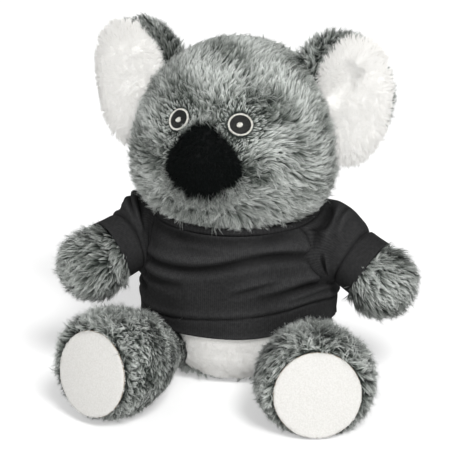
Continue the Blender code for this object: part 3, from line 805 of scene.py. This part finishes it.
def make_sleeve(side):
    columns, rows = 220, 44
    along, up, front = arm_axes(side)
    shoulder = joint_place("arm_lift_" + side)
    turns = np.linspace(-math.pi, math.pi, columns, endpoint=False)
    start, way, sewn = armhole_ring(side, turns)
    ring = np.cos(turns)[:, None] * up + np.sin(turns)[:, None] * front
    seam, mouth = CUFFS[side]
    axis = shoulder + up * CUFF_RISE
    end = axis + along * seam + ring * CUFF_RADIUS
    far = lengths(end - start, True)
    top = np.maximum(0, np.cos(turns))[:, None]
    rise, puff = SHOULDER_LIFT[side]
    leave = blurred(start + way * far * 0.4 + rise * UP * top**2, 14, 30, 24.8)
    arrive = end - along * (far * 0.35 + top * puff * 0.4) + up * top * puff
    share = np.linspace(0, 1, rows)[:, None, None]
    rest = 1 - share
    points = rest**3 * start + 3 * rest**2 * share * leave + 3 * rest * share**2 * arrive + share**3 * end
    normal = unit(np.cross(np.roll(points, -1, 1) - np.roll(points, 1, 1), np.gradient(points, axis=0)))
    normal *= np.sign((normal * ring).sum(-1).mean())
    run = np.linspace(0, 1, rows)
    flat = pairs(np.degrees(turns) * SLEEVE_MM_PER_DEGREE, run * SLEEVE_MM)
    folds = [(depth, width, roll, [(turn * SLEEVE_MM_PER_DEGREE, part * SLEEVE_MM) for turn, part in line])
             for depth, width, roll, line in SLEEVE_FOLDS[side]]
    lift = fold_lift(flat, folds).reshape(rows, columns)
    from_start = run[:, None] * far[:, 0] * 1000
    from_end = (1 - run[:, None]) * far[:, 0] * 1000
    lift *= np.clip(from_start / 3, 0, 1) * np.clip(from_end / 2.5, 0, 1)
    lift += seam_lift(from_start) * sewn + 0.35 * bell(from_end, 1.8, 2.6)
    lift -= 0.9 * bell(from_end, 0.45)
    points = points + normal * lift[:, :, None] / 1000
    # The cuff's rings: (place along the arm, how far out in mm), from its seam to the mouth and back inside
    edge = seam + 0.0016
    cuff = [(seam + 0.0003, 0.1), (seam + 0.0007, 0.6), (edge, 0.75)]
    cuff += [(edge + (mouth - seam - 0.0016) * step / 10, 0.75 + 0.03 * step) for step in range(1, 11)]
    cuff += [(mouth + 0.0003, 0.7), (mouth + 0.0003, 0.3)]
    cuff += [(mouth - inside, 0.0) for inside in (0.0002, 0.002, 0.005)]
    waves = 0.25 * np.sin(3 * turns + 1) + 0.2 * np.sin(5 * turns)
    rings = [axis + along * place + ring * (CUFF_RADIUS + (out + waves[:, None] * min(1, n / 6)) / 1000)
             for n, (place, out) in enumerate(cuff)]
    tuck = start - way * 0.0015 - normal[0] * 0.0011
    points = np.vstack([tuck, points.reshape(-1, 3), *rings])
    total = rows + 1 + len(cuff)
    v = np.concatenate([[0], 0.02 + 0.58 * run, 0.60 + 0.4 * np.linspace(0.03, 1, len(cuff))])
    relief = np.concatenate([lift[0], lift.ravel(), np.zeros(len(cuff) * columns)])
    material = knit_material("charcoal_knit_sleeve_" + side, 94, 38)
    uv = pairs(turns / FULL_TURN + 0.5, v)
    made = cloth_piece("sleeve_knit_" + side, points, tube_faces(total, columns), uv, material, relief)
    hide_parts("sleeve_" + side)
    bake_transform(made)


def make_collar():
    columns = 240
    turn = np.linspace(-180, 180, columns, endpoint=False)
    neck = eased(NECK_LINE, turn)
    # The band's folded section, in mm: (height off the neck line, how far out)
    path = [(-1.2, -0.9), (-0.4, -0.5), (0.1, 0.1), (0.6, 0.55), (1.3, 0.7), (2.1, 0.5), (2.7, -0.1), (2.9, -0.9),
            (2.4, -1.6), (1.2, -1.9)]
    points = np.vstack([shirt_at(turn, neck + up, 0 * turn + out) for up, out in path])
    faces, material = tube_faces(len(path), columns), knit_material("charcoal_rib_collar", 232, 8, 1.6)
    uv = pairs(turn / 360 + 0.5, np.linspace(0, 1, len(path)))
    made = cloth_piece("shirt_collar", points, faces, uv, material, np.zeros(len(points)))
    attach(made, "body")
    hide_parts("neck_band")


# Head


def in_parts(name, body, material, spots, ways, field, length, rng, shade, most=37000, **look):
    """Fur in as many pieces, from front to back, as keep each one to so many strands."""
    order = np.argsort(spots[:, 1], kind="stable")
    parts = np.array_split(order, math.ceil(len(order) / most))
    for part, word in zip(parts, ("front", "middle", "rear", "back")):
        label = name if len(parts) == 1 else name + "_" + word
        fur(label, body, material, spots[part], ways[part], field[part], length[part], rng, shade=shade[part], **look)


def make_head():
    rng = np.random.default_rng(11)
    skin = stuffed("head_plush", "head", GREY_SKIN)
    blocks = cad_tree("nose_pad", "ear_back_left", "ear_back_right", "ear_lining_left", "ear_lining_right")
    under = cad_tree("neck_band", "torso_plush")
    eyes = [eye_place(side)[0] for side in SIDES]
    spots, ways = scattered(
        skin, LONG_DENSITY, rng, clear_of(blocks, 0.004), clear_of(under, 0.003),
        lambda spots, ways: away_from(spots, *eyes) > EYE_RADIUS - 0.0002,
    )
    near_eye = away_from(spots, *eyes)
    muzzle = head_direction(0, -4)
    out = unit(spots - HEAD_CENTRE)
    field = -(muzzle - (out @ muzzle)[:, None] * out)
    field = unit(field) * np.minimum(1, lengths(field, True) * 1.6)
    field = field - 0.45 * UP * np.clip(out[:, 1:2] * 2, 0, 1)
    field = field + 0.50 * wander(spots, 0.026, 5) + 0.32 * wander(spots, 0.008, 6)
    for eye in eyes:
        far = lengths(spots - eye, True)
        field += 1.2 * unit(spots - eye) * bell(far, 0.003, EYE_RADIUS)
    near_nose = away_from(spots, middle_of("nose_pad"))
    length = np.full(len(spots), 0.0064) + 0.0016 * np.clip(-out[:, 2] * 2, 0, 1)
    length *= np.clip((near_eye - EYE_RADIUS) / 0.009, 0.30, 1)
    length *= np.clip((near_nose - 0.006) / 0.016, 0.55, 1)
    # painted light: the -0.06 * out z term makes the strands lighter towards the chin and darker towards the crown,
    # evening out the light from above
    shade = 0.5 + 0.42 * wander(spots, 0.015, 9)[:, 0] - 0.06 * out[:, 2]
    in_parts("head_fur", "head", GREY_STRANDS, spots, ways, field, length, rng, shade, around=blocks, **LONG_PILE)
    lap_nose(rng)


def lap_nose(rng):
    """Grey strands round the nose that lie over its seam, most of all below it."""
    spots, ways = scattered(NODES["nose_pad"], 16, rng)
    head, middle = cad_tree("head_plush"), middle_of("nose_pad")
    far = np.array([head.find_nearest(Vector(spot))[3] for spot in spots])
    below = np.clip((middle[2] - 0.002 - spots[:, 2]) / 0.008, 0, 1)
    high = np.clip((spots[:, 2] - middle[2] - 0.003) / 0.008, 0, 1)
    chosen = facing_off(HEAD_CENTRE)(spots, ways)
    chosen &= far < 0.0012 + (0.0030 * below + 0.0016 * high) * rng.uniform(0.2, 1, len(spots))
    spots, ways, below, high = spots[chosen], ways[chosen], below[chosen], high[chosen]
    away = unit(spots - middle)
    field = away * (0.6 - 0.2 * below)[:, None] + 0.45 * rng.normal(size=spots.shape)
    length = 0.0034 + 0.0020 * below + 0.0012 * high
    fur(
        "nose_edge_fur", "head", GREY_STRANDS, spots, unit(ways + away * 0.6), field, length, rng, lean=(25, 70),
        width=0.00024, per_tuft=8, pinch=0.35, shade=0.20 + 0.5 * rng.random(len(spots)),
    )


def make_nose():
    rng = np.random.default_rng(12)
    skin = stuffed("nose_pad", "head", BLACK_SKIN, 0.0005, 3)
    spots, ways = scattered(skin, 9, rng, facing_off(HEAD_CENTRE))
    field = unit(spots - middle_of("nose_pad")) * 0.6 - 0.6 * UP + 0.35 * wander(spots, 0.01, 3)
    fur(
        "nose_pile", "head", BLACK_STRANDS, spots, ways, field, 0.0024, rng,
        lean=(30, 68), width=0.00024, per_tuft=9, pinch=0.45, steps=2,
    )


# Eyes, in embroidery thread


def eye_place(side):
    """The middle of an eye, and the directions across it, up it and out of it."""
    middle = middle_of("eye_ring_" + side)
    out = unit(middle - HEAD_CENTRE)
    up = unit(UP - out[2] * out)
    return middle, np.cross(up, out), up, out


def threads(name, body, material, starts, ends, lift, thick, shade, sides=6, steps=7):
    """Stitches as fine tubes, each from its start to its end, arched by lift. All are arrays of points."""
    share = np.linspace(0, 1, steps)[None, :, None]
    line = starts[:, None, :] * (1 - share) + ends[:, None, :] * share
    line += lift[:, None, :] * (4 * share * (1 - share)) ** 0.5
    way = unit(ends - starts)
    upright = unit(lift - (lift * way).sum(1, keepdims=True) * way)
    across = np.cross(way, upright)
    angle = np.linspace(0, FULL_TURN, sides, endpoint=False)
    ring = np.cos(angle)[None, :, None] * across[:, None] + np.sin(angle)[None, :, None] * upright[:, None]
    taper = np.sin(math.pi * np.clip(share[..., None], 0.06, 0.94)) ** 0.35
    points = line[:, :, None, :] + ring[:, None] * thick * taper
    each = steps * sides
    first = (np.arange(len(starts)) * each)[:, None]
    one = tube_faces(steps, sides).reshape(1, -1)
    mesh = new_mesh(name, points.reshape(-1, 3), [(first + one).reshape(-1, 4)])
    u = np.clip(np.repeat(shade, each) + 0.01 * np.tile(np.cos(angle), steps * len(starts)), 0, 1)
    v = np.tile(np.repeat(share.ravel(), sides), len(starts))
    set_uv(mesh, np.stack([u, v], 1))
    return add_piece(name, mesh, material, body)


def make_eye(side, skin):
    rng = np.random.default_rng(60 + SIDES[side])
    middle, across, up, out = eye_place(side)

    def on_skin(x, y, above):
        spots = middle + np.outer(x, across) + np.outer(y, up)
        hits = [skin.ray_cast(Vector(spot + out * 0.01), Vector(-out))[0] for spot in spots]
        return np.array([hit if hit else spot for hit, spot in zip(hits, spots)]) + out * above

    def stitch(part, material, x0, y0, x1, y1, above, arch, thick):
        shade = rng.random(len(x0)) * 0.9 + 0.05
        made = threads(
            "eye_" + part + "_threads_" + side, "head", material, on_skin(x0, y0, above), on_skin(x1, y1, above),
            np.tile(out * arch, (len(x0), 1)), thick, shade,
        )
        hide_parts("eye_" + part + "_" + side)

    def disc(radius, gap, slope, x=0.0, y=0.0):
        """Parallel stitches that fill a disc."""
        rows = np.arange(-radius + gap / 2, radius, gap)
        half = np.sqrt(np.maximum(radius**2 - rows**2, 0)) * rng.uniform(0.94, 1.04, len(rows))
        c, s = math.cos(slope), math.sin(slope)
        return -half * c - rows * s + x, -half * s + rows * c + y, half * c - rows * s + x, half * s + rows * c + y

    up = up * 0.90
    count = 62
    turn = np.linspace(0, FULL_TURN, count, endpoint=False)
    inner, outer = EYE_RADIUS - 0.00090, EYE_RADIUS + 0.00006 * rng.normal(size=count)
    lean = turn + 0.10
    ring = inner * np.cos(turn), inner * np.sin(turn), outer * np.cos(lean), outer * np.sin(lean)
    stitch("ring", EYE_WHITE, *ring, 0.00025, 0.00045, 0.00026)
    iris = disc(EYE_RADIUS - 0.0007, 0.00038, math.radians(24))
    stitch("iris", EYE_BLACK, *iris, 0.00010, 0.00035, 0.00027)
    glint = disc(0.00128, 0.00042, math.radians(-62), -0.00030 * SIDES[side], -0.0002)
    stitch("glint", EYE_WHITE, *glint, 0.00035, 0.00060, 0.00028)


# Limbs, torso and ears

INNER_TRIM = {"left": 0.2, "right": 0.6}  # how much shorter the pile is on a leg's inner side
EAR_CREASE = {"left": ((0.0515, -0.0135, 0.1397), (0.0402, -0.0114, 0.1214))}  # from its outer to its inner end


def make_arm(side):
    rng = np.random.default_rng(20 + SIDES[side])
    skin = stuffed("arm_" + side, "arm_" + side, GREY_SKIN)
    along, up, _ = arm_axes(side)
    pivot, mouth = joint_place("arm_lift_" + side), CUFFS[side][1]
    points = read(skin.data.vertices, "co", 3).astype(float)
    reach = (points - pivot) @ along
    slim = 1 - 0.12 * np.clip((mouth - 0.001 - reach) / 0.003, 0, 1)  # where the sleeve covers it
    axis = pivot + reach[:, None] * along
    move_points(skin, axis + (points - axis) * slim[:, None])
    spots, ways = scattered(skin, LONG_DENSITY, rng, lambda spots, ways: (spots - pivot) @ along > mouth - 0.0022)
    field = along * 0.9 - 0.2 * UP + 0.45 * wander(spots, 0.02, 31) + 0.35 * wander(spots, 0.007, 32)
    length = 0.0062 + 0.0012 * np.clip((ways @ up), 0, 1)
    shade = 0.50 + 0.42 * wander(spots, 0.013, 37)[:, 0]
    in_parts("arm_fur_" + side, "arm_" + side, GREY_STRANDS, spots, ways, field, length, rng, shade, **PAW_PILE)


def make_leg(side):
    rng = np.random.default_rng(30 + SIDES[side])
    skin = stuffed("leg_" + side, "leg_" + side, GREY_SKIN, floor=True)
    sole, body = cad_tree("sole_" + side), cad_tree("torso_plush", "belly_panel", "shirt_front")
    spots, ways = scattered(
        skin, LONG_DENSITY, rng, clear_of(body, 0.0005), clear_of(sole, 0.003),
        lambda spots, ways: (spots[:, 2] > 0.0006) | (ways[:, 2] > -0.8),
    )
    way = facing(SIDES[side] * LEG_TURN[side], 5)
    middle = middle_of("sole_" + side)
    toe = np.clip(1 - ((middle - spots) @ way) / 0.012, 0, 1)
    field = -0.75 * UP + way * 0.30 + 0.45 * wander(spots, 0.020, 41) + 0.35 * wander(spots, 0.008, 42)
    field = field * (1 - 0.75 * toe[:, None]) + toe[:, None] * unit(spots - middle) * 0.5
    length = 0.0064 - 0.0012 * toe
    length *= np.clip(away_from(spots, *shape_of(NODES["belly_panel"])[0][::9]) / 0.012, 0.45, 1)
    length *= 1 - INNER_TRIM[side] * np.clip(-SIDES[side] * ways[:, 0] * 1.6, 0, 1)
    # painted light: the legs' fur takes a lighter tone (0.63 against 0.5 elsewhere) to offset the shade the legs sit
    # in
    shade = 0.63 + 0.45 * wander(spots, 0.014, 47)[:, 0]
    in_parts(
        "leg_fur_" + side, "leg_" + side, GREY_STRANDS, spots, ways, field, length, rng, shade,
        around=sole, floor=True, **LONG_PILE,
    )
    make_sole(side, way, rng)


def make_sole(side, way, rng):
    """The sole's smooth plush, with short pile that lies all ways, and the thread along its seam."""
    skin = stuffed("sole_" + side, "leg_" + side, SOLE_SKIN, 0.0006, 3)
    spots, ways = scattered(skin, 7, rng, lambda spots, ways: (ways @ way > 0.15) & (spots[:, 2] > 0.0008))
    field = wander(spots, 0.012, 63) - 0.5 * UP
    fur(
        "sole_pile_" + side, "leg_" + side, SOLE_STRANDS, spots, ways, field, 0.0012, rng,
        lean=(66, 88), width=0.00030, per_tuft=12, **SHORT_PILE,
    )
    points = shape_of(skin)[0]
    middle = middle_of("sole_" + side)
    flat = points - middle
    flat = flat - np.outer(flat @ way, way)
    across = unit(np.cross(way, UP))
    up = np.cross(across, way)
    turn = np.arctan2(flat @ up, flat @ across)
    count, edges, thick = 96, 6, 0.00032
    bins = ((turn / FULL_TURN + 0.5) * count).astype(int) % count
    far = lengths(flat)
    reach = blurred(np.array([far[bins == k].max() for k in range(count)]), math.inf, 2, 5)
    high = (points - middle) @ way
    rim = np.array([high[(bins == k) & (far > reach[k] - 0.0012)].max() for k in range(count)])
    rim = blurred(rim, math.inf, 2, 5)
    angle = (np.arange(count) + 0.5) / count * 2 * math.pi - math.pi
    ring = np.cos(angle)[:, None] * across + np.sin(angle)[:, None] * up
    line = middle + ring * (reach[:, None] - 0.0002) + np.outer(rim - 0.0009, way)
    line[:, 2] = np.maximum(line[:, 2], 0.0004)
    sides = np.linspace(0, FULL_TURN, edges, endpoint=False)
    tube = line[:, None] + thick * (np.cos(sides)[None, :, None] * ring[:, None] + np.sin(sides)[None, :, None] * way)
    after = np.roll(np.arange(count), -1)
    grid = np.arange(count * edges).reshape(count, edges)
    beside = np.roll(grid, -1, 1)
    faces = np.stack([grid, grid[after], beside[after], beside], -1).reshape(-1, 4)
    mesh = new_mesh("sole_seam_" + side, tube.reshape(-1, 3), [faces])
    set_uv(mesh, pairs(np.linspace(0, 1, edges), np.linspace(0, 1, count)))
    add_piece("sole_seam_" + side, mesh, SEAM_THREAD, "leg_" + side)


def make_torso():
    rng = np.random.default_rng(40)
    skin = stuffed("torso_plush", "body", GREY_SKIN, floor=True)
    nodes = ["belly_panel", "shirt_front", "shirt_back", "neck_band", "sleeve_left", "sleeve_right", "arm_left",
             "arm_right"]
    clothes, legs = cad_tree(*nodes), cad_tree("leg_left", "leg_right")
    others = cad_tree(*nodes, "leg_left", "leg_right", "head_plush")
    spots, ways = scattered(
        skin, LONG_DENSITY, rng, lambda spots, ways: (spots[:, 2] < 0.03) & (ways[:, 2] > -0.85),
        clear_of(clothes, 0.003), clear_of(legs, 0.0006),
    )
    field = -0.8 * UP + 0.5 * wander(spots, 0.02, 51)
    shade = 0.5 + 0.42 * wander(spots, 0.014, 57)[:, 0]
    in_parts(
        "torso_fur", "body", GREY_STRANDS, spots, ways, field, np.full(len(spots), 0.0058), rng, shade,
        around=others, floor=True, **LONG_PILE,
    )
    belly = stuffed("belly_panel", "body", WHITE_SKIN, 0.0006, 3)
    near = cad_tree("shirt_front", "leg_left", "leg_right")
    spots, ways = scattered(belly, 6, rng, clear_of(near, 0.0012), facing_off(0.02 * UP))
    ways = even(spots, ways)
    field = -0.9 * UP + 0.45 * wander(spots, 0.010, 61)
    fur(
        "belly_pile", "body", WHITE_STRANDS, spots, ways, field, 0.0022, rng,
        lean=(62, 86), width=0.00032, per_tuft=14, floor=True, **SHORT_PILE,
    )


def make_ear(side):
    rng = np.random.default_rng(50 + SIDES[side])
    body = "ear_" + side
    back = stuffed("ear_back_" + side, body, GREY_SKIN, 0.0008, 4)
    lining = stuffed("ear_lining_" + side, body, WHITE_SKIN, 0.0008, 4)
    root, middle = joint_place("ear_flex_" + side), middle_of("ear_lining_" + side)
    head, cloth = cad_tree("head_plush"), cad_tree("ear_lining_" + side)
    front = facing(EAR_FACING[side], 0)
    spots, ways = scattered(back, LONG_DENSITY, rng, clear_of(cad_tree("head_plush", "ear_lining_" + side), 0.003))
    near = np.array([cloth.find_nearest(Vector(spot))[3] for spot in spots])
    rim = np.clip(1 - near / 0.005, 0, 1)[:, None]
    field = unit(spots - root) * (1 - 0.6 * rim) - front * (0.1 + 0.9 * rim) + 0.5 * wander(spots, 0.016, 71)
    shade = 0.42 + 0.42 * wander(spots, 0.012, 77)[:, 0]
    in_parts(
        "ear_fur_" + side, body, GREY_STRANDS, spots, ways, field, 0.0056 - 0.0030 * rim[:, 0], rng, shade,
        around=head, **LONG_PILE,
    )
    if side in EAR_CREASE:
        crease_lining(lining, *EAR_CREASE[side], front)
    spots, ways = scattered(lining, 6.5, rng, clear_of(cad_tree("head_plush", "ear_back_" + side), 0.001))
    away = spots - middle
    away = away - np.outer(away @ front, front)
    far = lengths(away)
    edge = np.clip((far - 0.014) / 0.008, 0, 1)
    field = unit(away) * (0.35 + 0.8 * edge)[:, None] + 0.4 * wander(spots, 0.012, 81) - 0.15 * UP
    ways = unit(ways + 1.6 * edge[:, None] * front)
    if side in EAR_CREASE:
        start, end = (np.array(point) for point in EAR_CREASE[side])
        along = unit(end - start)
        gap = (spots - start) - np.outer(np.clip((spots - start) @ along, 0, np.linalg.norm(end - start)), along)
        wide = lengths(gap, True)
        field += 1.6 * gap / np.maximum(wide, 1e-6) * bell(wide, 0.0035)
    length, shade = 0.0026 + 0.0016 * edge, 0.3 + 0.7 * rng.random(len(spots))
    in_parts(
        "ear_pile_" + side, body, WHITE_STRANDS, spots, ways, field, length, rng, shade,
        lean=(60, 84), width=0.00034, per_tuft=10, spread=0.15, tuft_spread=0.2, around=head, **SHORT_PILE,
    )


def crease_lining(lining, start, end, front, depth=0.0032, width=0.0032, bow=0.0014):
    """Presses a bowed crease into an ear's lining. It fades out towards both ends."""
    start, end = np.array(start), np.array(end)
    points, normals = (read(lining.data.vertices, what, 3).astype(float) for what in ("co", "normal"))
    flat = (points - start) - np.outer((points - start) @ front, front)
    line = end - start
    line = line - (line @ front) * front
    share = np.clip(flat @ line / (line @ line), 0, 1)
    rise = np.sin(math.pi * share)
    far = lengths(flat - np.outer(share, line) - np.outer(bow * rise, unit(np.cross(front, line))))
    press = depth * rise**0.8 * bell(far, width) * (normals @ front > 0.2)
    move_points(lining, points - press[:, None] * front)




make_shirt_body()
make_collar()
make_head()
make_nose()
make_torso()
HEAD_SKIN = tree_of(bpy.data.objects["head_plush_skin"])
for SIDE in SIDES:
    make_eye(SIDE, HEAD_SKIN)
    make_sleeve(SIDE)
    make_arm(SIDE)
    make_leg(SIDE)
    make_ear(SIDE)


# Stage


def bare_tree(owner, output):
    """An emptied node tree, its output node, and whether a ray comes from the camera."""
    owner.use_nodes = True
    tree = owner.node_tree
    tree.nodes.clear()
    return tree, tree.nodes.new(output), tree.nodes.new("ShaderNodeLightPath").outputs["Is Camera Ray"]


def aim(item, way, axis):
    item.rotation_mode = "QUATERNION"
    item.rotation_quaternion = Vector(way).to_track_quat(axis, "Y")


def add_sun(name, azimuth, elevation, strength, angle):
    data = bpy.data.lights.new(name, "SUN")
    data.energy = strength
    data.angle = math.radians(angle)
    aim(add_object(name, data), facing(azimuth, elevation), "Z")


def make_stage():
    """A pale floor and a white studio. Both look brighter to the camera than the light they give the toy."""
    half = 3
    corners = np.array([[-half, -half, 0], [half, -half, 0], [half, half, 0], [-half, half, 0]], float)
    floor = new_mesh("floor", corners, [np.array([[0, 1, 2, 3]])])
    material = bpy.data.materials.new("pale_floor")
    tree, out, camera = bare_tree(material, "ShaderNodeOutputMaterial")
    colour = mix_colours(tree, camera, (0.80, 0.80, 0.80), (0.86, 0.86, 0.86))
    diffuse = add_node(tree, "ShaderNodeBsdfDiffuse", Color=colour)
    lift = add_node(tree, "ShaderNodeEmission", Strength=times(tree, camera, 0.40))
    both = add_node(tree, "ShaderNodeAddShader", i0=diffuse.outputs[0], i1=lift.outputs[0])
    tree.links.new(both.outputs[0], out.inputs[0])
    made = add_piece("floor", floor, material)

    world = bpy.data.worlds.new("studio")
    bpy.context.scene.world = world
    tree, out, camera = bare_tree(world, "ShaderNodeOutputWorld")
    strength = plus(tree, 0.34, times(tree, camera, 0.66))
    shine = add_node(tree, "ShaderNodeBackground", Color=(1, 1, 1, 1), Strength=strength)
    tree.links.new(shine.outputs[0], out.inputs[0])
    add_sun("key", 26, 46, 2.0, 18)
    add_sun("fill", 2, 6, 1.35, 40)


def make_camera():
    """The photograph's view: lengths in its pixels, with the target's place in it."""
    photo, focal, across, down = 460, 2300, 239, 187.5
    distance, sensor, target = 1.0, 36, Vector((0, 0, 0.080))
    azimuth, elevation = math.radians(7), math.radians(17)
    look = Vector((
        -math.sin(azimuth) * math.cos(elevation), math.cos(azimuth) * math.cos(elevation), -math.sin(elevation),
    ))
    data = bpy.data.cameras.new("camera")
    data.sensor_width = sensor
    data.lens = sensor * focal * distance / photo
    data.shift_x = -(across - photo / 2) / photo
    data.shift_y = (down - photo / 2) / photo
    data.clip_start, data.clip_end = 0.05, 20
    camera = add_object("camera", data)
    camera.location = target - look * distance
    aim(camera, look, "-Z")
    bpy.context.scene.camera = camera


make_stage()
make_camera()
bpy.context.scene.view_settings.view_transform = "Standard"
